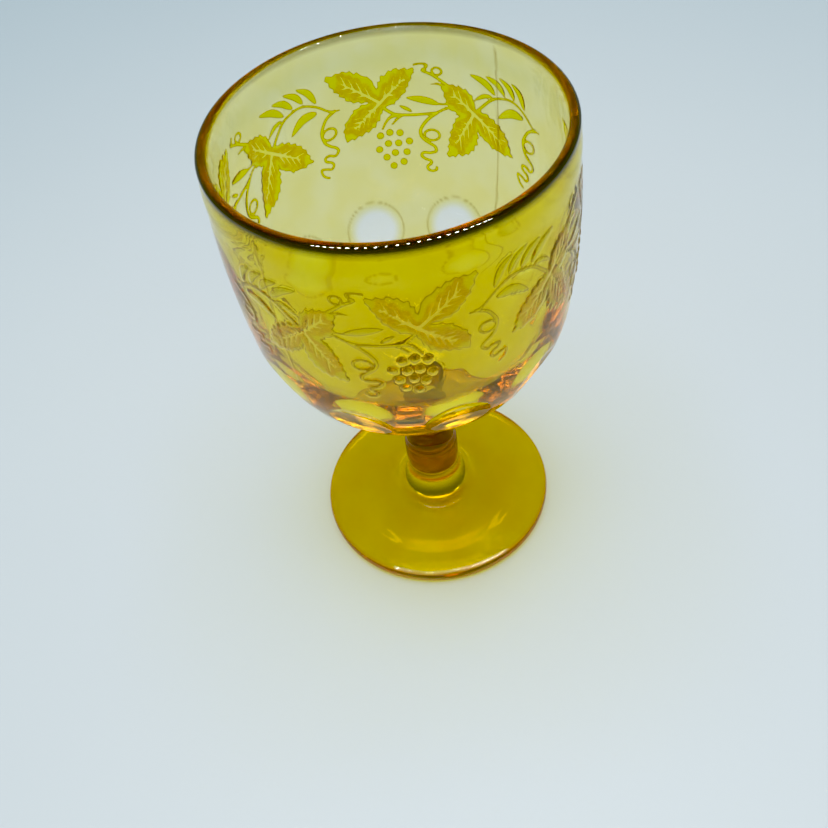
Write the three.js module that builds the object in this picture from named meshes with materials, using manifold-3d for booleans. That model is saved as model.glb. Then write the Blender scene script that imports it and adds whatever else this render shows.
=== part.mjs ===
// Stemmed wine glass in pressed, amber-stained glass: a deep round bowl with
// ten round cuts (punties) under a vine band, a short two-step stem and a
// broad, shallow-domed foot. Millimetres, +Z up, origin on the axis at the
// level that the foot stands on.

import * as THREE from 'three';
import { mergeVertices } from 'three/addons/utils/BufferGeometryUtils.js';
import Module from 'manifold-3d';

// ---------------------------------------------------------------- dimensions
const HEIGHT = 144.4;          // rest plane to top of lip
const SEGMENTS = 72;           // steps round the axis

const FOOT_RADIUS = 36.7;      // foot, widest
const FOOT_EDGE = 5.0;         // thickness of the foot's edge
const FOOT_RING_OUTER = 35.0;  // flat ring that the glass stands on
const FOOT_RING_INNER = 27.0;
const FOOT_RECESS = 1.6;       // hollow under the middle of the foot
const FOOT_TOP = 19.6;         // joint between foot and stem

const COLLAR_RADIUS = 8.2;     // lower, wider step of the stem
const COLLAR_TOP = 30.0;       // rounded ledge
const NECK_RADIUS = 7.3;       // upper step of the stem
const NECK_TOP = 52.0;         // joint between stem and bowl

const LIP_RADIUS = 1.35;       // rounding of the lip
const LIP_CENTRE_R = 42.7;

const PUNTY_COUNT = 10;
const PUNTY_FIRST = 11.0;      // degrees from the front, towards +X
const PUNTY_HEIGHT = 82.3;     // middle of a cut, above the rest plane
const PUNTY_DEPTH = 1.85;      // depth in the middle of a cut
const PUNTY_DISH = 40.0;       // radius of the dished face

// Outer wall of the bowl, from the stem up to the lip: [radius, height]
const BOWL_OUTER = [
  [NECK_RADIUS, NECK_TOP], [8.1, 52.4], [10.7, 53.2], [15.4, 55.4], [20.9, 58.9],
  [26.7, 63.8], [32.7, 70.1], [37.3, 76.6], [41.1, 84.6], [43.3, 93.0],
  [44.5, 102.0], [45.05, 113.0], [45.2, 122.0], [45.0, 130.5], [44.6, 137.0],
];
// Inner wall, from the lip down to the middle of the bottom: [radius, height]
const BOWL_INNER = [
  [41.8, 137.0], [42.3, 130.5], [42.5, 122.0], [42.3, 113.0], [41.5, 102.0],
  [39.9, 93.0], [37.2, 84.8], [32.6, 76.8], [27.4, 70.6], [21.2, 65.0],
  [14.4, 60.8], [7.4, 58.4], [0, 57.6],
];

// ----------------------------------------------------------------- materials
const amberGlass = (name, color) => {
  const m = new THREE.MeshStandardMaterial({ color, roughness: 0.05, metalness: 0.0 });
  m.name = name;
  return m;
};
const BOWL_GLASS = amberGlass('amber_stained_glass', 0xc9c05a);
const STEM_GLASS = amberGlass('deep_amber_glass', 0x7a5a10);
const FOOT_GLASS = amberGlass('amber_stained_glass_foot', 0xb4a510);

// ------------------------------------------------------------------- helpers
// A solid of revolution about +Z from [radius, height] pairs, given from the
// bottom of the outer side round to the axis or to where it began.
function turned(profile, segments = SEGMENTS) {
  const points = profile.map(([r, z]) => new THREE.Vector2(r, z));
  const g = new THREE.LatheGeometry(points, segments);
  g.rotateX(Math.PI / 2);      // LatheGeometry turns about +Y
  return g;
}

// Only positions, shared vertices merged, no collapsed triangles.
function weld(geometry) {
  geometry.deleteAttribute('normal');
  geometry.deleteAttribute('uv');
  const g = mergeVertices(geometry, 1e-4);
  const index = g.index.array;
  const kept = [];
  for (let i = 0; i < index.length; i += 3) {
    const [a, b, c] = [index[i], index[i + 1], index[i + 2]];
    if (a !== b && b !== c && c !== a) kept.push(a, b, c);
  }
  g.setIndex(kept);
  return g;
}

const wasm = await Module();
wasm.setup();

function toSolid(geometry) {
  const g = weld(geometry);
  return new wasm.Manifold(new wasm.Mesh({
    numProp: 3,
    vertProperties: new Float32Array(g.attributes.position.array),
    triVerts: new Uint32Array(g.index.array),
  }));
}

function toGeometry(solid) {
  const mesh = solid.getMesh();
  const g = new THREE.BufferGeometry();
  g.setAttribute('position', new THREE.BufferAttribute(new Float32Array(mesh.vertProperties), 3));
  g.setIndex(Array.from(mesh.triVerts));
  g.computeVertexNormals();
  return g;
}

function node(name, geometry, material) {
  if (!geometry.attributes.normal) geometry.computeVertexNormals();
  const mesh = new THREE.Mesh(geometry, material);
  mesh.name = name;
  return mesh;
}

// --------------------------------------------------------------------- bowl
function lipArc() {
  const centre = HEIGHT - LIP_RADIUS;
  const out = [];
  for (let i = 0; i <= 6; i += 1) {
    const a = (Math.PI * i) / 6;
    out.push([LIP_CENTRE_R + LIP_RADIUS * Math.cos(a), centre + LIP_RADIUS * Math.sin(a)]);
  }
  return out;
}

const bowlProfile = [[0, NECK_TOP], ...BOWL_OUTER, ...lipArc(), ...BOWL_INNER];

// Radius and downward tilt of the outer wall at one height.
function outerAt(z) {
  for (let i = 1; i < BOWL_OUTER.length; i += 1) {
    const [r0, z0] = BOWL_OUTER[i - 1];
    const [r1, z1] = BOWL_OUTER[i];
    if (z <= z1) {
      const t = (z - z0) / (z1 - z0);
      return { r: r0 + t * (r1 - r0), tilt: Math.atan2(r1 - r0, z1 - z0) };
    }
  }
  throw new Error('height above the bowl wall');
}

// One punty cutter: a shallow dished face on the end of a short plug, placed
// square to the wall.
function puntyCutter(angle) {
  const reach = 13.0;          // radius of the plug, wider than the cut
  const rings = 4;
  const profile = [];
  for (let i = 0; i <= rings; i += 1) {
    const r = (reach * i) / rings;
    profile.push([r, PUNTY_DISH - Math.sqrt(PUNTY_DISH ** 2 - r ** 2) - PUNTY_DEPTH]);
  }
  profile.push([reach, 6.0], [0, 6.0]);
  const g = turned(profile, 24);
  const { r, tilt } = outerAt(PUNTY_HEIGHT);
  const radial = new THREE.Vector3(Math.sin(angle), -Math.cos(angle), 0);
  const normal = radial.clone().multiplyScalar(Math.cos(tilt)).add(new THREE.Vector3(0, 0, -Math.sin(tilt)));
  const q = new THREE.Quaternion().setFromUnitVectors(new THREE.Vector3(0, 0, 1), normal);
  g.applyQuaternion(q);
  g.translate(radial.x * r, radial.y * r, PUNTY_HEIGHT);
  return g;
}

let bowlSolid = toSolid(turned(bowlProfile));
for (let k = 0; k < PUNTY_COUNT; k += 1) {
  const angle = THREE.MathUtils.degToRad(PUNTY_FIRST + (360 / PUNTY_COUNT) * k);
  bowlSolid = bowlSolid.subtract(toSolid(puntyCutter(angle)));
}

// --------------------------------------------------------------------- stem
const stemProfile = [
  [0, FOOT_TOP],
  [COLLAR_RADIUS, FOOT_TOP],
  [COLLAR_RADIUS + 0.15, 22.5],
  [COLLAR_RADIUS + 0.2, 25.5],
  [COLLAR_RADIUS + 0.1, 28.3],
  [COLLAR_RADIUS - 0.15, 29.4],
  [NECK_RADIUS + 0.35, COLLAR_TOP],
  [NECK_RADIUS, 31.2],
  [NECK_RADIUS - 0.2, 36.0],
  [NECK_RADIUS - 0.3, 42.0],
  [NECK_RADIUS - 0.2, 48.0],
  [NECK_RADIUS, NECK_TOP],
  [0, NECK_TOP],
];

// --------------------------------------------------------------------- foot
const footProfile = [
  [0, FOOT_RECESS],
  [10.0, FOOT_RECESS * 0.9],
  [19.0, FOOT_RECESS * 0.62],
  [25.0, FOOT_RECESS * 0.22],
  [FOOT_RING_INNER, 0],
  [FOOT_RING_OUTER, 0],
  [36.2, 0.7],
  [FOOT_RADIUS, 2.2],
  [FOOT_RADIUS, 3.6],
  [36.1, 4.7],
  [34.9, FOOT_EDGE + 0.15],
  [28.0, 5.8],
  [21.0, 6.6],
  [15.5, 7.7],
  [12.2, 9.5],
  [10.3, 12.0],
  [9.0, 15.2],
  [COLLAR_RADIUS, FOOT_TOP],
  [0, FOOT_TOP],
];

// ------------------------------------------------------------------ assembly
const glass = new THREE.Group();
glass.add(node('foot', weld(turned(footProfile)), FOOT_GLASS));
glass.add(node('stem', weld(turned(stemProfile, 48)), STEM_GLASS));
glass.add(node('bowl', toGeometry(bowlSolid), BOWL_GLASS));

export default glass;
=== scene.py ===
import math

import bpy
import numpy as np
from mathutils import Matrix


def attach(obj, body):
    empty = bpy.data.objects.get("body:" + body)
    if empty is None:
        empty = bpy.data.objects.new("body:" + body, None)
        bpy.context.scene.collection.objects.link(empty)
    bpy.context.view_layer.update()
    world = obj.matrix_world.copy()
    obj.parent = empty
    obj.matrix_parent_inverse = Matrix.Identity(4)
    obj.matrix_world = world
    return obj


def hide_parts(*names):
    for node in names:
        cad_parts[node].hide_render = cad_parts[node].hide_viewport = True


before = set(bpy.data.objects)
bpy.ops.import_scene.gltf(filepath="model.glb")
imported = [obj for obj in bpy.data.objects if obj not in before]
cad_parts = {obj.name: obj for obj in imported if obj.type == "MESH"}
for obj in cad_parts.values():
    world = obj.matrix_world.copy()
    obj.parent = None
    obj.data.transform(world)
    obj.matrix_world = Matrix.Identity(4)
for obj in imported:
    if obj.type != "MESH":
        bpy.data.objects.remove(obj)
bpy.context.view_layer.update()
MM = 0.001
HEIGHT = 144.4
UNIT = 146.0         # the vine and the camera are written in shares of this

scene = bpy.context.scene


def look(name, value):
    """Sets a Cycles or colour setting where this Blender has it."""
    owner, key = name.rsplit(".", 1)
    thing = scene
    for part in owner.split("."):
        thing = getattr(thing, part, None)
    if thing is not None and hasattr(thing, key):
        setattr(thing, key, value)


# ------------------------------------------------------------------ camera
CAM_BACK, CAM_UP = 1.3115 * UNIT * MM, 1.8317 * UNIT * MM
YAW, PITCH, ROLL = math.radians(-1.216), math.radians(49.811), math.radians(-9.165)
fwd = np.array([math.sin(YAW) * math.cos(PITCH), math.cos(YAW) * math.cos(PITCH), -math.sin(PITCH)])
right0 = np.array([math.cos(YAW), -math.sin(YAW), 0.0])
up0 = np.cross(right0, fwd)
right = math.cos(ROLL) * right0 + math.sin(ROLL) * up0
up = -math.sin(ROLL) * right0 + math.cos(ROLL) * up0
cam_data = bpy.data.cameras.new("camera")
cam = bpy.data.objects.new("camera", cam_data)
scene.collection.objects.link(cam)
cam.matrix_world = Matrix(
    [
        [right[0], up[0], -fwd[0], 0.0],
        [right[1], up[1], -fwd[1], -CAM_BACK],
        [right[2], up[2], -fwd[2], CAM_UP],
        [0, 0, 0, 1],
    ]
)
cam_data.sensor_width = 36.0
cam_data.lens = 960.14 / 828 * 36.0
cam_data.clip_start, cam_data.clip_end = 0.01, 50.0
scene.camera = cam


# ---------------------------------------------------------------- profiles
def spline(points, n=4000):
    """Points along a natural cubic spline through [radius, height] pairs, evenly spaced."""
    p = np.array(points, float)
    t = np.r_[0, np.cumsum(np.sqrt((np.diff(p, axis=0) ** 2).sum(1)))]
    k, h = len(t), np.diff(t)
    a, b = np.zeros((k, k)), np.zeros((k, p.shape[1]))
    a[0, 0] = a[-1, -1] = 1
    for i in range(1, k - 1):
        a[i, i - 1], a[i, i], a[i, i + 1] = h[i - 1], 2 * (h[i - 1] + h[i]), h[i]
        b[i] = 6 * ((p[i + 1] - p[i]) / h[i] - (p[i] - p[i - 1]) / h[i - 1])
    m = np.linalg.solve(a, b)
    s = np.linspace(0, t[-1], n)
    j = np.clip(np.searchsorted(t, s) - 1, 0, k - 2)
    u, v, w = ((t[j + 1] - s) / h[j])[:, None], ((s - t[j]) / h[j])[:, None], h[j][:, None]
    return u * p[j] + v * p[j + 1] + ((u**3 - u) * m[j] + (v**3 - v) * m[j + 1]) * w**2 / 6


def smooth(x, lo, hi):
    t = np.clip((x - lo) / (hi - lo), 0, 1)
    return t * t * (3 - 2 * t)


BOWL_OUTER = [
    (7.3, 52.0), (8.1, 52.4), (10.7, 53.2), (15.4, 55.4), (20.9, 58.9), (26.7, 63.8), (32.7, 70.1), (37.3, 76.6),
    (41.1, 84.6), (43.3, 93.0), (44.5, 102.0), (45.05, 113.0), (45.2, 122.0), (45.0, 130.5), (44.6, 137.0),
    (44.05, 143.05),
]
BOWL_INNER = [
    (41.35, 143.05), (41.8, 137.0), (42.3, 130.5), (42.5, 122.0), (42.3, 113.0), (41.5, 102.0), (39.9, 93.0),
    (37.2, 84.8), (32.6, 76.8), (27.4, 70.6), (21.2, 65.0), (14.4, 60.8), (7.4, 58.4), (0.0, 57.6),
]
LIP_R, LIP_C = 1.35, (42.7, 143.05)
BAND_LOW, BAND_HIGH = 96.5, 134.0      # the vine band, in height


def rows_from(curve, segments, start, stop, count, by="length", last=False):
    """Rows [radius, height, segments] between two heights or shares of a curve, count steps, without the last unless asked."""
    if by == "height":
        z = curve[:, 1]
        want = np.linspace(start, stop, count + 1)
        order = np.argsort(z)
        r = np.interp(want, z[order], curve[:, 0][order])
        pts = np.stack([r, want], 1)
    else:
        s = np.linspace(0, 1, len(curve))
        want = np.linspace(start, stop, count + 1)
        pts = np.stack([np.interp(want, s, curve[:, 0]), np.interp(want, s, curve[:, 1])], 1)
    if not last:
        pts = pts[:-1]
    return [(float(r), float(z), segments) for r, z in pts]


def share_at(curve, z):
    return float(np.interp(z, curve[:, 1], np.linspace(0, 1, len(curve)))) if curve[0, 1] < curve[-1, 1] else float(
        np.interp(-z, -curve[:, 1], np.linspace(0, 1, len(curve)))
    )


def ring_normals(rows):
    """The turned profile's normal at each row, from its neighbours, to the left of the way the rows run."""
    p = np.array([(r, z) for r, z, _ in rows])
    d = np.gradient(p, axis=0)
    n = np.stack([d[:, 1], -d[:, 0]], 1)
    return n / np.maximum(np.linalg.norm(n, axis=1, keepdims=True), 1e-12)


class Turned:
    """A closed solid of revolution whose rows may have different numbers of steps, each the same as, double or half its neighbour's."""

    def __init__(self, rows, first_z, last_z):
        self.rows = rows
        self.normals = ring_normals(rows)
        self.first_z, self.last_z = first_z, last_z
        self.starts, count = [], 1
        for _, _, n in rows:
            self.starts.append(count)
            count += n
        self.total = count + 1
        self.az = np.concatenate([[0.0], *[np.arange(n) * (2 * math.pi / n) for _, _, n in rows], [0.0]])
        self.r = np.concatenate([[0.0], *[np.full(n, r) for r, _, n in rows], [0.0]])
        self.z = np.concatenate([[first_z], *[np.full(n, z) for _, z, n in rows], [last_z]])
        self.row = np.concatenate([[-1], *[np.full(n, i) for i, (_, _, n) in enumerate(rows)], [len(rows)]]).astype(int)
        nr = np.concatenate([[0.0], *[np.full(n, self.normals[i, 0]) for i, (_, _, n) in enumerate(rows)], [0.0]])
        nz = np.concatenate([[-1.0], *[np.full(n, self.normals[i, 1]) for i, (_, _, n) in enumerate(rows)], [1.0]])
        self.out = np.stack([np.sin(self.az), -np.cos(self.az), np.zeros_like(self.az)], 1)
        self.p = self.out * self.r[:, None]
        self.p[:, 2] = self.z
        self.n = self.out * nr[:, None]
        self.n[:, 2] = nz

    def faces(self):
        tris, quads, quad_row, tri_row = [], [], [], []
        n0 = self.rows[0][2]
        j = np.arange(n0)
        tris.append(np.stack([np.zeros(n0, int), self.starts[0] + (j + 1) % n0, self.starts[0] + j], 1))
        tri_row.append(np.full(n0, -1))
        for i in range(len(self.rows) - 1):
            a, b = self.rows[i][2], self.rows[i + 1][2]
            sa, sb = self.starts[i], self.starts[i + 1]
            if a == b:
                j = np.arange(a)
                quads.append(np.stack([sa + j, sa + (j + 1) % a, sb + (j + 1) % a, sb + j], 1))
                quad_row.append(np.full(a, i))
            elif b == 2 * a:
                j = np.arange(a)
                c0, c1 = sa + j, sa + (j + 1) % a
                f0, f1, f2 = sb + 2 * j, sb + 2 * j + 1, sb + (2 * j + 2) % b
                tris += [np.stack(t, 1) for t in ((c0, f1, f0), (c0, c1, f1), (c1, f2, f1))]
                tri_row += [np.full(a, i)] * 3
            elif a == 2 * b:
                j = np.arange(b)
                c0, c1 = sb + j, sb + (j + 1) % b
                f0, f1, f2 = sa + 2 * j, sa + 2 * j + 1, sa + (2 * j + 2) % a
                tris += [np.stack(t, 1) for t in ((f0, f1, c0), (f1, c1, c0), (f1, f2, c1))]
                tri_row += [np.full(b, i)] * 3
            else:
                raise ValueError("rows may only double or halve")
        n1 = self.rows[-1][2]
        j = np.arange(n1)
        last = self.total - 1
        tris.append(np.stack([self.starts[-1] + j, self.starts[-1] + (j + 1) % n1, np.full(n1, last)], 1))
        tri_row.append(np.full(n1, len(self.rows)))
        return (
            np.concatenate(quads) if quads else np.zeros((0, 4), int),
            np.concatenate(quad_row) if quad_row else np.zeros(0, int),
            np.concatenate(tris),
            np.concatenate(tri_row),
        )

    def build(self, name, materials, slot_of_row, attributes=None):
        quads, quad_row, tris, tri_row = self.faces()
        mesh = bpy.data.meshes.new(name)
        mesh.vertices.add(self.total)
        mesh.vertices.foreach_set("co", (self.p * MM).astype(np.float32).ravel())
        loops = np.concatenate([quads.ravel(), tris.ravel()]).astype(np.int32)
        mesh.loops.add(len(loops))
        mesh.loops.foreach_set("vertex_index", loops)
        totals = np.concatenate([np.full(len(quads), 4), np.full(len(tris), 3)])
        starts = np.concatenate([[0], np.cumsum(totals)[:-1]]).astype(np.int32)
        mesh.polygons.add(len(totals))
        mesh.polygons.foreach_set("loop_start", starts)
        for m in materials:
            mesh.materials.append(m)
        slots = np.array([slot_of_row(r) for r in range(-1, len(self.rows) + 1)], np.int32)
        mesh.polygons.foreach_set("material_index", slots[np.concatenate([quad_row, tri_row]) + 1])
        mesh.update(calc_edges=True)
        mesh.validate()
        mesh.polygons.foreach_set("use_smooth", np.ones(len(mesh.polygons), bool))
        for key, values in (attributes or {}).items():
            a = mesh.attributes.new(key, "FLOAT", "POINT")
            a.data.foreach_set("value", np.asarray(values, np.float32))
        mesh.update()
        ob = bpy.data.objects.new(name, mesh)
        scene.collection.objects.link(ob)
        return ob


# --------------------------------------------------------------- the vine
K = math.radians(1) * 45.0      # millimetres of wall to a degree
BERRY = 1.12
UNIT_STEP = (77.3, 0.012 * UNIT)


def at(points):
    """[degrees, share of height] pairs to millimetres along and up the wall, with a drawing's lean taken out."""
    p = np.array(points, float)
    u = np.where(p[:, 0] < 270.0, p[:, 0] - 180.0, 0.0)
    a = p[:, 0] + 0.0205 * u + 5.93e-6 * u**3
    z = p[:, 1] * UNIT
    z = z + 0.6 - (z - 102.0) * 0.031 + 1.878e-4 * u**2 + 2.86e-8 * u**4
    return np.stack([a * K, z], 1)


def curved(points, per=7):
    """A smooth curve through points (Catmull-Rom)."""
    p = np.array(points, float)
    if len(p) < 3:
        return p
    e = np.vstack([2 * p[0] - p[1], p, 2 * p[-1] - p[-2]])
    out = []
    for i in range(1, len(e) - 2):
        t = np.linspace(0, 1, per, endpoint=False)[:, None]
        out.append(
            0.5
            * (
                2 * e[i]
                + (e[i + 1] - e[i - 1]) * t
                + (2 * e[i - 1] - 5 * e[i] + 4 * e[i + 1] - e[i + 2]) * t**2
                + (3 * e[i] - e[i - 1] - 3 * e[i + 1] + e[i + 2]) * t**3
            )
        )
    return np.vstack([*out, p[-1:]])


def loop_points(centre, rx, rz, start, sweep, n=12):
    a = np.radians(np.linspace(start, start + sweep, n))
    return [(centre[0] + rx * math.cos(x), centre[1] + rz * math.sin(x)) for x in a]


def toothed(points, hub, step=2.25, size=0.62):
    """A closed outline with small teeth that lean away from the leaf's middle, as on a vine leaf."""
    p = np.array(points, float)
    area = 0.5 * np.sum(p[:, 0] * np.roll(p[:, 1], -1) - np.roll(p[:, 0], -1) * p[:, 1])
    turn = 1.0 if area > 0 else -1.0
    # walk the whole outline in even steps, so teeth don't depend on where the points lie
    q = np.vstack([p, p[:1]])
    s = np.r_[0, np.cumsum(np.hypot(*np.diff(q, axis=0).T))]
    n = int(round(s[-1] / step))
    out = []
    for i in range(n):
        here, there = s[-1] * i / n, s[-1] * (i + 1) / n
        a = np.array([np.interp(here, s, q[:, 0]), np.interp(here, s, q[:, 1])])
        b = np.array([np.interp(there, s, q[:, 0]), np.interp(there, s, q[:, 1])])
        near, far = np.hypot(*(a - hub)), np.hypot(*(b - hub))
        lean = 0.80 if far > near else 0.20
        d = b - a
        side = np.array([d[1], -d[0]]) / max(np.hypot(*d), 1e-9) * turn
        grow = size * smooth(0.5 * (near + far), 1.6, 4.0)
        out.append(a - side * grow * 0.35)
        for j in np.where((s > here + 0.25) & (s < there - 0.25))[0]:
            t = (s[j] - here) / (there - here)
            up_ = t / lean if t < lean else (1 - t) / (1 - lean)
            if abs(t - lean) > 0.12:
                out.append(q[j] + side * grow * (1.25 * up_ - 0.35))
        out.append(a + d * lean + side * grow * 0.9)
    order = np.array(out)
    return order


shapes = []        # (kind, points, value): outline, stroke (width along it), vein, berry


def outline(points, hub):
    shapes.append(("outline", toothed(at(points), at([hub])[0]), None))


def stroke(points, width, taper=(1.0, 1.0), kind="stroke"):
    p = curved(at(points))
    t = np.linspace(0, 1, len(p))
    w = width * (taper[0] + (taper[1] - taper[0]) * t)
    shapes.append((kind, p, w))


def leaflet(base, mid, tip, width):
    """A slim leaf: widest a little before its middle, pointed at both ends."""
    p = curved(at([base, mid, tip]), 9)
    t = np.linspace(0, 1, len(p))
    w = width * np.sin(math.pi * t**0.85) ** 0.75 + 0.16
    shapes.append(("stroke", p, w))


def vein(points, width=0.5, taper=(1.0, 0.55)):
    stroke(points, width, taper, "vein")


def inside(q, p):
    """Signed distance from one point to a closed outline, positive inside."""
    a, b = p, np.roll(p, -1, axis=0)
    ab = b - a
    t = np.clip(((q - a) * ab).sum(1) / np.maximum((ab * ab).sum(1), 1e-12), 0, 1)
    dist = np.hypot(*(q - a - t[:, None] * ab).T).min()
    cross = (a[:, 1] > q[1]) != (b[:, 1] > q[1])
    x = a[:, 0] + (q[1] - a[:, 1]) * ab[:, 0] / np.where(np.abs(ab[:, 1]) < 1e-12, 1e-12, ab[:, 1])
    return dist if (cross & (q[0] < x)).sum() % 2 else -dist


def lobe_veins(hub, tip, count=5, reach=0.74, width=0.50, lean=36):
    """A lobe's midrib and the veins either side of it, each running out to just short of the leaf's edge."""
    leaf = shapes[LEAF][1]
    a, b = at([hub])[0], at([tip])[0]
    d = b - a
    length = np.hypot(*d)
    d = d / length
    shapes.append(("vein", np.array([a, a + d * length * reach]), np.array([0.95, 0.36])))
    count = max(count - 2, 3)
    for i in range(count):
        s = 0.15 + 0.46 * i / (count - 1)
        for sign in (1, -1):
            ang = math.radians(lean) * sign
            way = np.array([d[0] * math.cos(ang) - d[1] * math.sin(ang), d[0] * math.sin(ang) + d[1] * math.cos(ang)])
            start = a + d * (length * (s + 0.035 * sign))
            k = 0.4
            while k < 3.4 + 0.5 * (i % 2) and inside(start + way * (k + 0.1), leaf) > 0.95:
                k += 0.15
            if k < 1.1:
                continue
            path = np.array([start, start + way * k * 0.55 + d * 0.10, start + way * k * 0.96 + d * 0.34])
            shapes.append(("vein", curved(path, 4), np.linspace(width, width * 0.45, 9)))


def motif():
    """One repeat of the band: fern spray, tendril, leaf, tendril, grapes and leaf."""
    global LEAF
    # fern spray
    stroke([(119.6, 0.817), (121.6, 0.818), (123.6, 0.824), (126, 0.837), (128.5, 0.847), (131, 0.8535), (133.5, 0.8555),
            (136, 0.8535), (139, 0.849), (141.5, 0.840), (143.6, 0.829), (146.2, 0.815)], 0.86, (0.75, 1.1))
    leaflet((126.6, 0.848), (128.4, 0.875), (131.9, 0.892), 1.9)
    leaflet((131.0, 0.860), (133.0, 0.880), (137.0, 0.895), 1.8)
    leaflet((135.0, 0.861), (137.8, 0.880), (142.2, 0.891), 1.9)
    leaflet((138.9, 0.857), (142.8, 0.877), (148.4, 0.889), 2.1)
    leaflet((140.0, 0.852), (143.6, 0.848), (147.6, 0.834), 1.2)
    leaflet((127.2, 0.829), (132.6, 0.829), (138.3, 0.810), 2.6)
    # tendril from the spray's end
    stroke([(121.2, 0.818), (124.3, 0.810), (126.1, 0.798), (127.3, 0.785), (127.2, 0.773), (126.6, 0.762), (125.0, 0.752),
            (122.9, 0.743), (122.2, 0.735), (123.6, 0.7275), (125.7, 0.733), (127.4, 0.732), (127.2, 0.724), (125.2, 0.717),
            (124.4, 0.709), (125.4, 0.703), (127.4, 0.708), (129.3, 0.711), (129.0, 0.700), (127.9, 0.692), (126.5, 0.687)],
           0.84, (1.15, 0.9))
    stroke(loop_points((124.6, 0.7765), 2.5, 0.0115, 20, 320), 0.8)
    # leaf B
    outline([(146.9, 0.818), (143.3, 0.812), (140.2, 0.803), (137.6, 0.792), (135.4, 0.779), (133.8, 0.763), (133.1, 0.748),
             (131.8, 0.735), (134.2, 0.738), (137.0, 0.737), (139.6, 0.741), (142.2, 0.749), (144.2, 0.756), (145.8, 0.765),
             (146.5, 0.778), (146.5, 0.760), (146.9, 0.744), (148.6, 0.727), (150.6, 0.718), (152.6, 0.713), (154.2, 0.714),
             (156.2, 0.708), (158.5, 0.705), (157.9, 0.722), (157.4, 0.742), (156.7, 0.760), (155.7, 0.779), (154.4, 0.791),
             (152.6, 0.799), (154.6, 0.805), (156.6, 0.811), (157.6, 0.823), (157.9, 0.836), (158.4, 0.846), (158.8, 0.858),
             (157.0, 0.864), (154.4, 0.862), (152.4, 0.859), (150.2, 0.855), (148.6, 0.848), (147.5, 0.835)],
            (147.6, 0.806))
    LEAF = len(shapes) - 1
    for tip, n in (((132.9, 0.740), 6), ((157.6, 0.711), 6), ((157.8, 0.856), 5)):
        lobe_veins((147.6, 0.806), tip, n)
    # curling shoots from leaf B
    stroke([(157.2, 0.862), (159.2, 0.870), (161.4, 0.879), (163.4, 0.885), (165.2, 0.890), (163.8, 0.896), (163.4, 0.902),
            (165.2, 0.904), (167.9, 0.903)], 0.85, (1.2, 0.8))
    stroke(loop_points((160.1, 0.8885), 1.75, 0.0075, -60, 330), 0.72)
    stroke([(157.8, 0.856), (160.0, 0.862), (162.6, 0.862)], 0.85, (1.2, 0.6))
    # stems from leaf B to leaf A
    stroke([(157.2, 0.820), (159.4, 0.8195), (162.0, 0.820)], 0.7)
    leaflet((160.2, 0.8195), (166.2, 0.8285), (171.8, 0.834), 2.1)
    stroke([(156.2, 0.814), (158.8, 0.8085), (161.6, 0.801), (165.5, 0.798), (170.0, 0.797), (174.0, 0.7985), (176.6, 0.802),
            (178.6, 0.810), (180.6, 0.821)], 1.0, (0.8, 1.1))
    stroke([(173.8, 0.798), (175.6, 0.791), (177.7, 0.780)], 0.85, (1.2, 0.7))
    stroke([(175.8, 0.799), (178.3, 0.795), (180.0, 0.785), (181.3, 0.773)], 0.9, (1.2, 0.7))
    leaflet((170.2, 0.805), (172.4, 0.812), (174.5, 0.819), 1.0)
    # second tendril
    stroke([(161.2, 0.801), (164.0, 0.790), (166.3, 0.777), (167.7, 0.764), (167.8, 0.752), (166.6, 0.742), (164.4, 0.733),
            (162.8, 0.726), (162.7, 0.717), (164.8, 0.7135), (167.4, 0.714), (168.2, 0.707), (166.8, 0.700), (164.9, 0.696),
            (164.8, 0.690), (166.2, 0.684), (166.1, 0.677), (164.6, 0.6735), (163.0, 0.676), (162.8, 0.682)],
           0.9, (1.15, 0.95))
    stroke(loop_points((163.7, 0.7525), 2.8, 0.0115, 0, 330), 0.8)
    # grapes
    for b in ((175.3, 0.7605), (178.9, 0.7635), (182.4, 0.7595), (172.2, 0.7405), (176.2, 0.7385), (179.9, 0.7400),
              (183.4, 0.7300), (173.5, 0.7175), (177.8, 0.7180), (181.1, 0.7105), (175.0, 0.6965), (178.9, 0.6900)):
        shapes.append(("berry", at([b]), np.array([BERRY])))
    # leaf A
    outline([(167.6, 0.894), (168.4, 0.884), (169.6, 0.871), (170.8, 0.857), (172.0, 0.848), (173.1, 0.838), (174.6, 0.830),
             (176.5, 0.822), (178.6, 0.821), (180.2, 0.820), (180.6, 0.809), (181.9, 0.796), (183.4, 0.785), (184.7, 0.777),
             (186.6, 0.774), (189.2, 0.769), (192.2, 0.765), (195.2, 0.764), (195.1, 0.776), (195.4, 0.789), (194.1, 0.800),
             (193.0, 0.811), (191.6, 0.818), (190.0, 0.827), (187.2, 0.832), (184.4, 0.834), (186.6, 0.837), (189.2, 0.841),
             (191.6, 0.846), (193.2, 0.856), (194.8, 0.867), (196.7, 0.881), (197.9, 0.895), (198.9, 0.909), (194.6, 0.909),
             (192.0, 0.912), (190.0, 0.906), (188.0, 0.900), (185.6, 0.894), (183.6, 0.888), (182.3, 0.876), (181.5, 0.859),
             (180.9, 0.866), (180.3, 0.874), (179.6, 0.884), (178.1, 0.887), (176.4, 0.892), (175.2, 0.896), (173.0, 0.895),
             (170.0, 0.894)], (181.0, 0.829))
    LEAF = len(shapes) - 1
    for tip, n in (((168.2, 0.891), 5), ((197.9, 0.907), 6), ((194.8, 0.767), 6)):
        lobe_veins((181.0, 0.829), tip, n)


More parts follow.
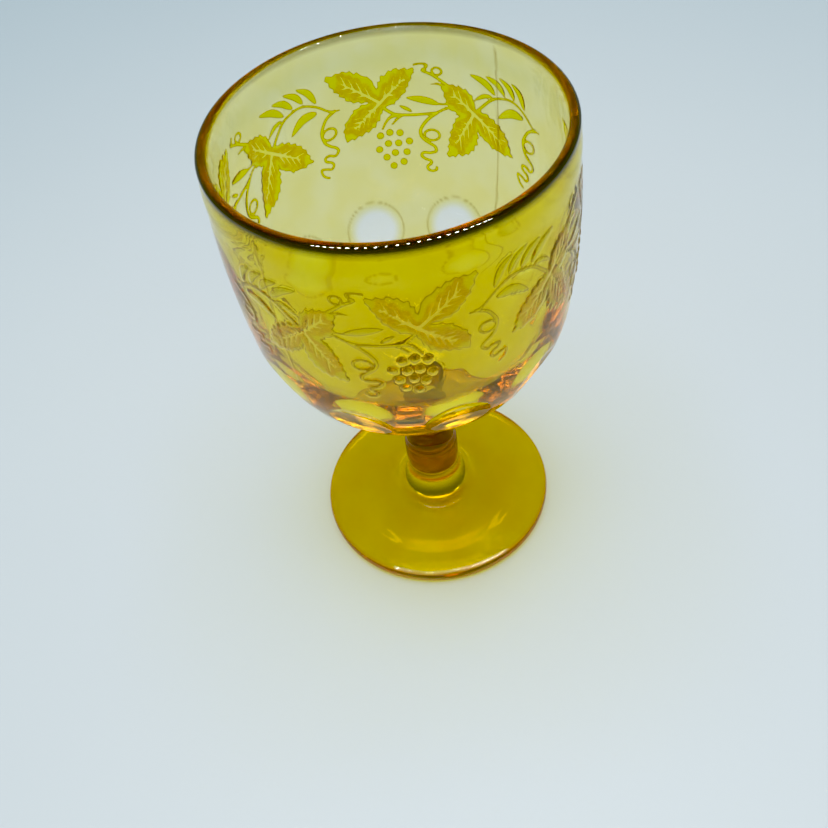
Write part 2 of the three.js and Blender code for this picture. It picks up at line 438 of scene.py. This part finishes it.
# a smooth shift fitted for each repeat, in millimetres, over its width and height. It takes up uneven cutting together
# with any error left in the camera and the bowl's profile, so it isn't a measure of the cutting alone.
DRIFT = (
    (160, (-0.188, 0.104, -0.128, 0.132, -0.016, 0.022), (0.417, -0.007, 0.561, -0.128, -0.220, -0.049)),
    (225, (1.041, -0.294, -0.288, -0.398, 0.270, 1.299), (-0.578, -0.835, 0.794, -0.160, 0.329, 0.210)),
)


def strayed(p, step):
    """One repeat's points, in millimetres, moved along and up as that repeat strays."""
    p = p + np.array([step * UNIT_STEP[0] * K, step * UNIT_STEP[1]])
    middle, along, up_ = DRIFT[step]
    x = np.clip((p[:, 0] - middle * K) / 30, -1.15, 0.9)
    y = (p[:, 1] - 115.0) / 15
    terms = np.stack([np.ones(len(p)), x, y, x * x, x * y, y * y], 1)
    return p + np.stack([terms @ np.array(along), terms @ np.array(up_)], 1)


def vine_field(az, height, rows, cols):
    """Signed distances in millimetres (positive inside) to the vine and to its veins, and the berries' domes, on the band's grid."""
    motif()
    one = list(shapes)
    shapes.clear()
    placed = []
    for half in (0.0, 180.0):
        for step in (0, 1):
            placed += [(k, strayed(p, step) + np.array([half * K, 0.0]), w) for k, p, w in one]
    around = 360 * K
    u = (np.degrees(az) * K).reshape(rows, cols)[0]
    v = height.reshape(rows, cols)[:, 0]
    vine = np.full((rows, cols), -1.5)
    veins = np.full((rows, cols), -1.5)
    dome = np.zeros((rows, cols))
    margin = 1.4
    for kind, p, w in placed:
        lo, hi = p.min(0) - margin, p.max(0) + margin
        if w is not None:
            lo, hi = lo - w.max() / 2, hi + w.max() / 2
        iv = np.where((v >= lo[1]) & (v <= hi[1]))[0]
        du = (u - lo[0]) % around
        iu = np.where(du <= hi[0] - lo[0])[0]
        if len(iv) == 0 or len(iu) == 0:
            continue
        uu = lo[0] + du[iu]
        gx, gy = np.meshgrid(uu, v[iv])
        q = np.stack([gx.ravel(), gy.ravel()], 1)
        if kind == "berry":
            d = w[0] - np.hypot(q[:, 0] - p[0, 0], q[:, 1] - p[0, 1])
            h = np.clip(1 - (np.clip(w[0] - d, 0, None) / w[0]) ** 2, 0, 1)
            grid = np.ix_(iv, iu)
            dome[grid] = np.maximum(dome[grid], h.reshape(gx.shape))
        else:
            a = p if kind == "outline" else p[:-1]
            b = np.roll(p, -1, axis=0) if kind == "outline" else p[1:]
            best = np.full(len(q), -1e9) if kind != "outline" else np.full(len(q), 1e9)
            inside = np.zeros(len(q), bool)
            for i in range(len(a)):
                ab = b[i] - a[i]
                t = np.clip(((q - a[i]) @ ab) / max(ab @ ab, 1e-12), 0, 1)
                dist = np.hypot(q[:, 0] - a[i, 0] - t * ab[0], q[:, 1] - a[i, 1] - t * ab[1])
                if kind == "outline":
                    best = np.minimum(best, dist)
                    cross = (a[i, 1] > q[:, 1]) != (b[i, 1] > q[:, 1])
                    with np.errstate(divide="ignore", invalid="ignore"):
                        x = a[i, 0] + (q[:, 1] - a[i, 1]) * ab[0] / ab[1] if abs(ab[1]) > 1e-12 else np.full(len(q), -1e18)
                    inside ^= cross & (q[:, 0] < x)
                else:
                    half = 0.5 * (w[i] + (w[i + 1] - w[i]) * t)
                    best = np.maximum(best, half - dist)
            d = np.where(inside, best, -best) if kind == "outline" else best
        grid = np.ix_(iv, iu)
        target = veins if kind == "vein" else vine
        target[grid] = np.maximum(target[grid], d.reshape(gx.shape))
    return vine.ravel(), veins.ravel(), dome.ravel()


# --------------------------------------------------------------- materials
# a near-black painted shade laid on the lip, standing in for the rim's dark look
LIP_PAINTED_SHADE = (0.032, 0.013, 0.035)
# a lighter painted shade, laid along the mould lines and round the cuts' rims
SEAM_PAINTED_SHADE = (0.70, 0.62, 0.48)


def glass(name, through, leaving, vine=None, rough=0.012, shade=1.0, stain_and_shade=None, shine=None):
    """
    Clear glass with a stain on its outer face. through is what the stain lets pass, per channel, on the way in;
    leaving is the same on the way out, where the light has already lost most of its blue. shade is how deep a
    shadow it casts. shine names the attribute that dims its reflections.
    """
    m = bpy.data.materials.new(name)
    m.use_nodes = True
    nt = m.node_tree
    nt.nodes.clear()
    n = lambda kind, **kw: make(nt, kind, **kw)  # noqa: E731

    def put(value, socket):
        if isinstance(value, (int, float)):
            socket.default_value = value
        elif isinstance(value, tuple):
            socket.default_value = (*value, 1)
        else:
            nt.links.new(value, socket)

    def attr(key):
        a = n("ShaderNodeAttribute")
        a.attribute_name = key
        return a.outputs["Fac"]

    def ramp(source, lo, hi, out_lo=0.0, out_hi=1.0):
        r = n("ShaderNodeMapRange")
        r.interpolation_type = "SMOOTHSTEP"
        put(source, r.inputs["Value"])
        r.inputs["From Min"].default_value, r.inputs["From Max"].default_value = lo, hi
        r.inputs["To Min"].default_value, r.inputs["To Max"].default_value = out_lo, out_hi
        return r.outputs["Result"]

    def sums(kind, a, b, clamp=False):
        t = n("ShaderNodeMath")
        t.operation = kind
        t.use_clamp = clamp
        put(a, t.inputs[0])
        put(b, t.inputs[1])
        return t.outputs[0]

    def mix(fac, a, b, kind="MIX"):
        t = n("ShaderNodeMix")
        t.data_type = "RGBA"
        t.blend_type = kind
        put(fac, t.inputs[0])
        put(a, t.inputs[6])
        put(b, t.inputs[7])
        return t.outputs[2]

    def power(colour, p):
        g = n("ShaderNodeGamma")
        put(colour, g.inputs["Color"])
        put(p, g.inputs["Gamma"])
        return g.outputs["Color"]

    place = n("ShaderNodeTexCoord").outputs["Object"]

    def noise(scale, detail):
        t = n("ShaderNodeTexNoise")
        nt.links.new(place, t.inputs["Vector"])
        t.inputs["Scale"].default_value = scale
        t.inputs["Detail"].default_value = detail
        return t.outputs["Fac"]

    # the stain's strength: where it lies, painted deeper in places as painted shade, and a slow unevenness
    strength = attr("stain_and_shade") if stain_and_shade is None else stain_and_shade
    strength = sums("MULTIPLY", ramp(noise(70.0, 2.0), 0.3, 0.7, 0.86, 1.14), strength)
    tint, tint_out = power(through, strength), power(leaving, strength)
    roughness, normal = rough, None
    if vine is not None:
        fine = noise(2300.0, 3.0)
        leaf = ramp(attr("vine"), -0.06, 0.06)
        rib = ramp(attr("vein"), -0.10, 0.12)
        patch = ramp(noise(420.0, 2.0), 0.42, 0.60)
        body = mix(patch, vine[0], vine[1])
        body = mix(ramp(fine, 0.35, 0.65, 0.0, 0.5), body, vine[3])
        body = mix(ramp(attr("vein"), -1.45, -0.75), vine[4], body)
        # a darker rim painted just inside each leaf's outline, as painted shade of the relief's edge
        body = mix(ramp(attr("vine"), 0.04, 0.30), vine[3], body)
        body = mix(rib, body, vine[2])
        lip_shade, line_shade = attr("lip_shade"), attr("seam")
        # on the way in, a dark brown line painted along the vine's outlines, as painted shade of the relief's edge
        near = mix(ramp(attr("vine"), 0.02, 0.34), (0.48, 0.35, 0.002), mix(1.0, body, (0.95, 0.91, 1.0), "MULTIPLY"))
        # painted shade: the lip darkened nearly to black, and the mould lines and cuts' rims darkened, both ways
        # through
        tint = mix(line_shade, mix(lip_shade, mix(leaf, tint, near), LIP_PAINTED_SHADE, "MULTIPLY"), SEAM_PAINTED_SHADE, "MULTIPLY")
        tint_out = mix(line_shade, mix(lip_shade, mix(leaf, tint_out, body), LIP_PAINTED_SHADE, "MULTIPLY"), SEAM_PAINTED_SHADE, "MULTIPLY")
        dull = sums("SUBTRACT", leaf, rib, clamp=True)
        roughness = ramp(dull, 0.0, 1.0, rough, 0.11)
        b = n("ShaderNodeBump")
        b.inputs["Strength"].default_value = 0.35
        b.inputs["Distance"].default_value = 0.00004
        put(sums("MULTIPLY", fine, dull), b.inputs["Height"])
        normal = b.outputs["Normal"]
    p = n("ShaderNodeBsdfPrincipled")
    p.inputs["IOR"].default_value = 1.515
    p.inputs["Transmission Weight"].default_value = 1.0
    if shine:
        put(attr(shine), p.inputs["Specular Tint"])
    put(power(tint, 2.0), p.inputs["Base Color"])
    g = n("ShaderNodeBsdfGlass")
    g.inputs["IOR"].default_value = 1.515
    put(tint_out, g.inputs["Color"])
    for s in (p, g):
        put(roughness, s.inputs["Roughness"])
        if normal is not None:
            put(normal, s.inputs["Normal"])
    # light turned back inside the glass has been through the stain too
    both = n("ShaderNodeMixShader")
    put(n("ShaderNodeNewGeometry").outputs["Backfacing"], both.inputs[0])
    put(p.outputs[0], both.inputs[1])
    put(g.outputs[0], both.inputs[2])
    clear = n("ShaderNodeBsdfTransparent")
    put(power(tint_out, shade), clear.inputs["Color"])
    final = n("ShaderNodeMixShader")
    put(n("ShaderNodeLightPath").outputs["Is Shadow Ray"], final.inputs[0])
    put(both.outputs[0], final.inputs[1])
    put(clear.outputs[0], final.inputs[2])
    put(final.outputs[0], n("ShaderNodeOutputMaterial").inputs["Surface"])
    return m


def make(nt, kind, **kw):
    node = nt.nodes.new(kind)
    for key, value in kw.items():
        setattr(node, key, value)
    return node


def joint_face():
    """The fused joint between two pieces: glass on both sides, so light goes straight on."""
    m = bpy.data.materials.new("fused_joint")
    m.use_nodes = True
    nt = m.node_tree
    nt.nodes.clear()
    t = nt.nodes.new("ShaderNodeBsdfTransparent")
    o = nt.nodes.new("ShaderNodeOutputMaterial")
    nt.links.new(t.outputs[0], o.inputs["Surface"])
    return m


STAIN_IN, STAIN_OUT = (0.86, 0.735, 0.020), (0.95, 0.87, 0.40)
# the vine's stain colours; the fourth is also painted along the leaves' edges as painted shade
VINE = ((0.80, 0.62, 0.006), (0.74, 0.50, 0.002), (0.92, 0.84, 0.14), (0.58, 0.43, 0.002),
        (0.78, 0.72, 0.012))
bowl_glass = glass("amber_bowl_glass", STAIN_IN, STAIN_OUT, VINE)
stem_glass = glass("amber_stem_glass", (0.33, 0.135, 0.004), (0.44, 0.21, 0.015), stain_and_shade=1.0)
foot_glass = glass("amber_foot_glass", (0.93, 0.83, 0.02), (0.95, 0.86, 0.06), rough=0.05, shade=0.35, shine="gloss")
fused = joint_face()


# --------------------------------------------------------------------- bowl
outer = spline(BOWL_OUTER)
inner = spline(BOWL_INNER)
rows = [(4.0, 52.01, 192)]
at_60, at_cut = share_at(outer, 62.0), share_at(outer, 72.5)
at_top, at_low, at_high = share_at(outer, 92.5), share_at(outer, BAND_LOW), share_at(outer, BAND_HIGH)
rows += rows_from(outer, 192, 0.0, at_60, 22)
rows += rows_from(outer, 384, at_60, at_cut, 16)
rows += rows_from(outer, 768, at_cut, at_top, 28)
rows += rows_from(outer, 384, at_top, at_low, 4)
BAND_FIRST = len(rows)
rows += rows_from(outer, 768, BAND_LOW, BAND_HIGH, 64, by="height")
BAND_LAST = len(rows)
rows += rows_from(outer, 384, at_high, 1.0, 9)
for i in range(13):
    a = math.pi * i / 12
    rows.append((LIP_C[0] + LIP_R * math.cos(a), LIP_C[1] + LIP_R * math.sin(a), 384))
LIP_END = len(rows)
rows += rows_from(inner, 192, 0.03, 0.985, 42, last=True)
rows[0] = (4.0, 52.01, 192)
rows[1] = (7.3, 52.01, 192)
bowl = Turned(rows, 52.01, 57.6)

row = bowl.row
is_outer = (row >= 2) & (row < LIP_END - 12)
is_lip = (row >= LIP_END - 13) & (row < LIP_END)
height = bowl.z
stain_and_shade = np.where((row >= 1) & (row < LIP_END - 4), 1.0, 0.0)
# the stain painted up to 1.6 times as strong below 78 mm, as painted shade on the lower bowl
stain_and_shade = stain_and_shade * (1.0 + 0.6 * (1 - smooth(height, 58, 78)))
turned_in = (LIP_C[0] - bowl.r) / LIP_R          # -1 at the lip's outer side, 1 at its inner side
# the lip's outer half, and the outer wall just below it, painted dark as painted shade
lip_shade = np.where(is_lip, 1 - smooth(turned_in, -0.6, -0.05), 0.0)
lip_shade = np.maximum(lip_shade, np.where(is_outer, smooth(height, 141.8, 142.4), 0.0))

# clear round cuts
PUNTY_H, PUNTY_D, PUNTY_R = 82.3, 1.85, 40.0
k = int(np.argmin(abs(outer[:, 1] - PUNTY_H)))
t = outer[k + 5] - outer[k - 5]
tilt = math.atan2(t[0], t[1])
push = np.full(bowl.total, -5.0)
for i in range(10):
    a = math.radians(11.0 + 36.0 * i)
    axis = np.array([math.sin(a) * math.cos(tilt), -math.cos(a) * math.cos(tilt), -math.sin(tilt)])
    spot = np.array([math.sin(a) * outer[k, 0], -math.cos(a) * outer[k, 0], PUNTY_H])
    centre = spot + axis * (PUNTY_R - PUNTY_D)
    near = is_outer & (((bowl.p - spot) ** 2).sum(1) < 14.0**2)
    q, nn = bowl.p[near], bowl.n[near]
    depth = np.zeros(len(q))
    for _ in range(5):
        v = q - depth[:, None] * nn - centre
        dist = np.linalg.norm(v, axis=1)
        slope = -(v * nn).sum(1) / dist
        depth += (PUNTY_R - dist) / np.maximum(slope, 0.5)
    push[near] = np.maximum(push[near], depth)
stain_and_shade *= 1 - 0.94 * smooth(push / 0.42, 0.1, 3.0)
# a line painted darker round each cut's rim, as painted shade of the cut's edge
ring = 0.75 * (1 - smooth(np.abs(push / 0.42 + 0.05), 0.08, 0.42))
sunk = 0.5 * (push + np.sqrt(push**2 + 0.05**2))
sunk[push <= -4.9] = 0.0

# the vine's relief
first, last = bowl.starts[BAND_FIRST], bowl.starts[BAND_LAST]
vine = np.full(bowl.total, -1.5)
veins = np.full(bowl.total, -1.5)
dome = np.zeros(bowl.total)
vine[first:last], veins[first:last], dome[first:last] = vine_field(
    bowl.az[first:last], bowl.z[first:last], BAND_LAST - BAND_FIRST, 768
)
relief = 0.20 * smooth(vine, -0.12, 0.36) * (1 - 0.5 * smooth(veins, -0.12, 0.14)) + 0.16 * dome
inset = 0.0 * bowl.z
inset = np.where(is_outer, 0.46 * smooth(bowl.z, 88, 98) * (1 - smooth(bowl.z, 132, 139)), 0.0)
# fine mould lines: a low ridge, with a darker line painted along it as painted shade
seam = np.zeros(bowl.total)
for a in (137.3, 317.3):
    away = (np.degrees(bowl.az) - a + 0.022 * (bowl.z - 85) + 180) % 360 - 180
    seam = np.maximum(seam, 1 - smooth(np.abs(away * K), 0.10, 0.40))
seam *= smooth(bowl.z, 60, 75) * (1 - smooth(bowl.z, 139, 141)) * is_outer
# the mould lines and the cuts' rims, painted darker in the colour as painted shade
painted_line_shade = np.maximum(seam, ring)
# the slow unevenness of pressed glass
az, z = bowl.az, bowl.z
swell = (
    0.045 * np.sin(3 * az + 0.8 + z * 0.055)
    + 0.030 * np.sin(7 * az - 1.3 - z * 0.10)
    + 0.020 * np.sin(12 * az + 2.1 + z * 0.17)
    + 0.030 * np.sin(z * 0.31 + 2 * az)
)
calm = np.clip(bowl.r / 25, 0, 1)
swell_in = 0.6 * (0.05 * np.sin(4 * az + 2.0 - z * 0.06) + 0.03 * np.sin(9 * az + z * 0.12) + 0.03 * np.sin(z * 0.27 - az))
move = np.where(is_outer, relief + 0.05 * seam - sunk - inset + (swell - 0.06) * calm, 0.0)
is_inner = row >= LIP_END
move = np.where(is_inner, swell_in * calm * smooth(HEIGHT - z, 2, 8), move)
bowl.p += bowl.n * move[:, None]
bowl_ob = bowl.build(
    "bowl_glass",
    [bowl_glass, fused],
    lambda r: 1 if r <= 0 else 0,
    {"stain_and_shade": stain_and_shade, "vine": vine, "vein": veins, "lip_shade": lip_shade, "seam": painted_line_shade},
)
# berries count as vine in the colour
berry = bowl_ob.data.attributes["vine"]
both = np.maximum(vine, np.where(dome > 0, BERRY * (1 - np.sqrt(1 - dome)), -1.5))
berry.data.foreach_set("value", both.astype(np.float32))
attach(bowl_ob, "root")
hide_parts("bowl")

# --------------------------------------------------------------------- stem
STEM = [
    (8.2, 19.6), (8.35, 22.5), (8.4, 25.5), (8.3, 28.3), (8.05, 29.4), (7.65, 30.0), (7.3, 31.2), (7.1, 36.0), (7.0, 42.0),
    (7.1, 48.0), (7.3, 52.0),
]
stem_curve = spline(STEM)
rows = [(4.0, 19.6, 96)] + rows_from(stem_curve, 96, 0.0, 1.0, 84, last=True) + [(4.0, 52.0, 96)]
rows[1] = (8.2, 19.6, 96)
rows[-2] = (7.3, 51.99, 96)
rows[-1] = (4.0, 51.99, 96)
stem = Turned(rows, 19.6, 51.99)
N_STEM = len(rows)
wob = 0.05 * np.sin(2 * stem.az + stem.z * 0.12) + 0.03 * np.sin(5 * stem.az - stem.z * 0.2)
wob *= smooth(stem.z, 20, 23) * (1 - smooth(stem.z, 48, 51.5))
stem.p += stem.n * (wob * (stem.r > 5))[:, None]
stem_ob = stem.build("stem_glass", [stem_glass, fused], lambda r: 1 if r <= 0 or r >= N_STEM - 2 else 0)
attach(stem_ob, "root")
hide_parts("stem")

# --------------------------------------------------------------------- foot
FOOT_UNDER = [(27.0, 0.0), (26.0, 0.12), (24.6, 0.42), (19.0, 0.99), (10.0, 1.44), (3.0, 1.6)]
FOOT_SIDE = [(35.0, 0.0), (35.7, 0.25), (36.3, 0.85), (36.65, 1.8), (36.7, 2.9), (36.55, 3.9), (36.1, 4.6), (35.2, 5.05)]
FOOT_TOP = [(35.2, 5.05), (32.0, 5.4), (28.0, 5.8), (21.0, 6.6), (15.5, 7.7), (12.2, 9.5), (10.3, 12.0), (9.0, 15.2), (8.2, 19.59)]
rows = []
rows += [(r, z, s) for r, z, s in reversed(rows_from(spline(FOOT_UNDER), 192, 0.0, 1.0, 26, last=True))]
rows += [(28.5, 0.0, 192), (31.0, 0.0, 192), (33.5, 0.0, 192)]
rows += rows_from(spline(FOOT_SIDE), 192, 0.0, 1.0, 18)
rows += rows_from(spline(FOOT_TOP), 192, 0.0, 1.0, 70, last=True)
rows += [(4.0, 19.59, 192)]
rows[-2] = (8.2, 19.59, 192)
foot = Turned(rows, 1.62, 19.59)
N_FOOT = len(rows)
top = (foot.z > 5.0) & (foot.r > 9)
wave = 0.06 * np.sin(3 * foot.az + foot.r * 0.25) + 0.04 * np.sin(8 * foot.az - foot.r * 0.35)
foot.p += foot.n * (wave * top * smooth(foot.r, 9, 14) * (1 - smooth(foot.r, 33, 35.5)))[:, None]
thin = np.where(foot.z > 5.0, 0.15 * (1 - smooth(foot.r, 9, 15)), 0.3 * (1 - smooth(foot.r, 12, 19)))
# the foot's rim painted with a stain up to 3.2 times as strong, as painted shade along its edge
foot_edge_shade = smooth(foot.r, 35.5, 36.5)
foot_ob = foot.build(
    "foot_glass",
    [foot_glass, fused],
    lambda r: 1 if r >= N_FOOT - 2 else 0,
    {"stain_and_shade": (1 - thin) * (1 + 2.2 * foot_edge_shade), "gloss": 0.05 + 0.35 * smooth(foot.r, 24, 30) + 0.60 * smooth(foot.r, 33.8, 35.0)},
)
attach(foot_ob, "root")
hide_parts("foot")

# ------------------------------------------------------------ floor, lights
floor_mesh = bpy.data.meshes.new("floor")
S = 3.0
floor_mesh.from_pydata([(-S, -S, 0), (S, -S, 0), (S, S, 0), (-S, S, 0)], [], [(0, 1, 2, 3)])
floor = bpy.data.objects.new("floor", floor_mesh)
scene.collection.objects.link(floor)
floor.location.z = -0.00006
fm = bpy.data.materials.new("pale_floor")
fm.use_nodes = True
nt = fm.node_tree
pf = next(n for n in nt.nodes if n.type == "BSDF_PRINCIPLED")
noise = nt.nodes.new("ShaderNodeTexNoise")
tc = nt.nodes.new("ShaderNodeTexCoord")
nt.links.new(tc.outputs["Object"], noise.inputs["Vector"])
noise.inputs["Scale"].default_value = 6.0
cr = nt.nodes.new("ShaderNodeMix")
cr.data_type = "RGBA"
nt.links.new(noise.outputs["Fac"], cr.inputs[0])
cr.inputs[6].default_value = (0.55, 0.615, 0.655, 1)
cr.inputs[7].default_value = (0.575, 0.64, 0.68, 1)
# the floor painted darker and a little bluer from 5 to 55 cm out from under the glass: painted fall-off of light
far = nt.nodes.new("ShaderNodeVectorMath")
far.operation = "LENGTH"
nt.links.new(tc.outputs["Object"], far.inputs[0])
fade = nt.nodes.new("ShaderNodeMapRange")
fade.interpolation_type = "SMOOTHSTEP"
nt.links.new(far.outputs["Value"], fade.inputs["Value"])
fade.inputs["From Min"].default_value, fade.inputs["From Max"].default_value = 0.05, 0.55
painted_falloff = nt.nodes.new("ShaderNodeMix")
painted_falloff.data_type, painted_falloff.blend_type = "RGBA", "MULTIPLY"
nt.links.new(fade.outputs["Result"], painted_falloff.inputs[0])
nt.links.new(cr.outputs[2], painted_falloff.inputs[6])
painted_falloff.inputs[7].default_value = (0.76, 0.85, 0.91, 1)
nt.links.new(painted_falloff.outputs[2], pf.inputs["Base Color"])
pf.inputs["Roughness"].default_value = 0.6
floor.data.materials.append(fm)

world = bpy.data.worlds.new("studio")
scene.world = world
world.use_nodes = True
nt = world.node_tree
bg = next(n for n in nt.nodes if n.type == "BACKGROUND")
geo = nt.nodes.new("ShaderNodeTexCoord")
sep = nt.nodes.new("ShaderNodeSeparateXYZ")
nt.links.new(geo.outputs["Generated"], sep.inputs[0])
ramp = nt.nodes.new("ShaderNodeValToRGB")
nt.links.new(sep.outputs["Z"], ramp.inputs[0])
ramp.color_ramp.elements[0].position = 0.25
ramp.color_ramp.elements[0].color = (0.90, 0.96, 1.0, 1)
ramp.color_ramp.elements[1].position = 0.80
ramp.color_ramp.elements[1].color = (0.24, 0.26, 0.28, 1)
nt.links.new(ramp.outputs[0], bg.inputs["Color"])
bg.inputs["Strength"].default_value = 0.52


def area(name, at_, to, size, power, colour=(1, 1, 1)):
    d = bpy.data.lights.new(name, "AREA")
    d.shape = "RECTANGLE"
    d.size, d.size_y = size
    d.energy = power
    d.color = colour
    o = bpy.data.objects.new(name, d)
    scene.collection.objects.link(o)
    from mathutils import Vector

    o.location = at_
    o.rotation_mode = "QUATERNION"
    o.rotation_quaternion = (Vector(to) - Vector(at_)).to_track_quat("-Z", "Y")
    return o


overhead = area("overhead", (0.0, 0.05, 1.45), (0, 0, 0), (1.2, 1.0), 22.5, (1.0, 0.995, 0.98))
overhead.visible_glossy = False
# a strip of small panels high in front: a row of glints on the lip and on the foot's edge
for i in range(22):
    panel = area(f"panel_{i}", (-0.525 + 0.05 * i, -0.34, 0.74), (0, 0, 0.08), (0.010, 0.05), 0.85)
    panel.visible_diffuse = False
    panel.visible_transmission = False

# ------------------------------------------------------------------- looks
look("view_settings.view_transform", "Standard")
look("view_settings.look", "None")
look("view_settings.use_curve_mapping", True)
scene.view_settings.curve_mapping.black_level = (0.006, 0.006, 0.045)
scene.view_settings.curve_mapping.update()
look("cycles.max_bounces", 72)
look("cycles.transmission_bounces", 72)
look("cycles.glossy_bounces", 72)
look("cycles.transparent_max_bounces", 72)
look("cycles.sample_clamp_indirect", 6.0)
look("cycles.blur_glossy", 0.3)
# light through glass onto other things comes by the shadow rays alone, so it isn't counted twice
look("cycles.caustics_refractive", False)
look("cycles.caustics_reflective", False)
look("cycles.use_denoising", True)
